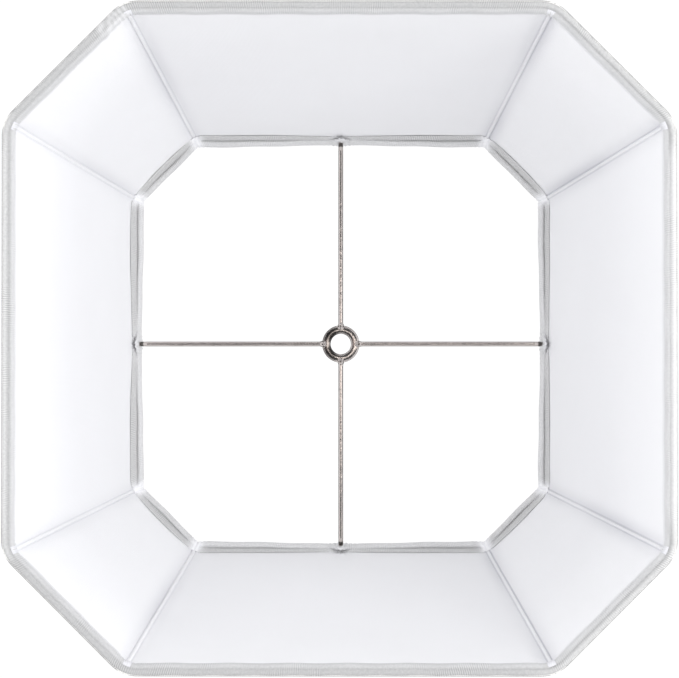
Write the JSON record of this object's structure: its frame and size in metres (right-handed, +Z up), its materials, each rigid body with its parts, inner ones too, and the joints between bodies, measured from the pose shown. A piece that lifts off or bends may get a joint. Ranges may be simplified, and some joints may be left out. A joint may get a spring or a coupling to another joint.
{
  "type": "lampshade",
  "caption": "Cut-corner square cloth lampshade, wide end down, on a wire frame with a spider fitter and a central washer just below the top ring",
  "frame": {"origin": "on the plane of the bottom binding tape's underside, on the shade's centre line", "axes": "+Z up the centre line from the wide bottom opening to the small top ring; +X and +Y each face a main panel and run along a spider arm"},
  "size_m": [0.3048, 0.3048, 0.241],
  "materials": {
    "cover_cloth": "plain-woven white cotton-blend shade cloth, matte",
    "lining_cloth": "smooth white acetate lining cloth, slight sheen",
    "binding_tape": "finely ribbed pale grey-white binding tape, matte",
    "frame_wire": "drawn steel wire, dull zinc plate",
    "nickel_plate": "bright nickel plate on steel"
  },
  "bodies": {
    "root": {"bottom_ring_wire": "frame_wire", "top_ring_wire": "frame_wire", "rib_wire_1": "frame_wire", "rib_wire_2": "frame_wire", "rib_wire_3": "frame_wire", "rib_wire_4": "frame_wire", "rib_wire_5": "frame_wire", "rib_wire_6": "frame_wire", "rib_wire_7": "frame_wire", "rib_wire_8": "frame_wire", "spider_washer": "nickel_plate", "spider_arm_1": "nickel_plate", "spider_arm_2": "nickel_plate", "spider_arm_3": "nickel_plate", "spider_arm_4": "nickel_plate", "cover_main_panel_1": "cover_cloth", "cover_main_panel_2": "cover_cloth", "cover_main_panel_3": "cover_cloth", "cover_main_panel_4": "cover_cloth", "cover_corner_panel_1": "cover_cloth", "cover_corner_panel_2": "cover_cloth", "cover_corner_panel_3": "cover_cloth", "cover_corner_panel_4": "cover_cloth", "lining_main_panel_1": "lining_cloth", "lining_main_panel_2": "lining_cloth", "lining_main_panel_3": "lining_cloth", "lining_main_panel_4": "lining_cloth", "lining_corner_panel_1": "lining_cloth", "lining_corner_panel_2": "lining_cloth", "lining_corner_panel_3": "lining_cloth", "lining_corner_panel_4": "lining_cloth", "bottom_binding_tape": "binding_tape", "top_binding_tape": "binding_tape"}
  },
  "joints": []
}
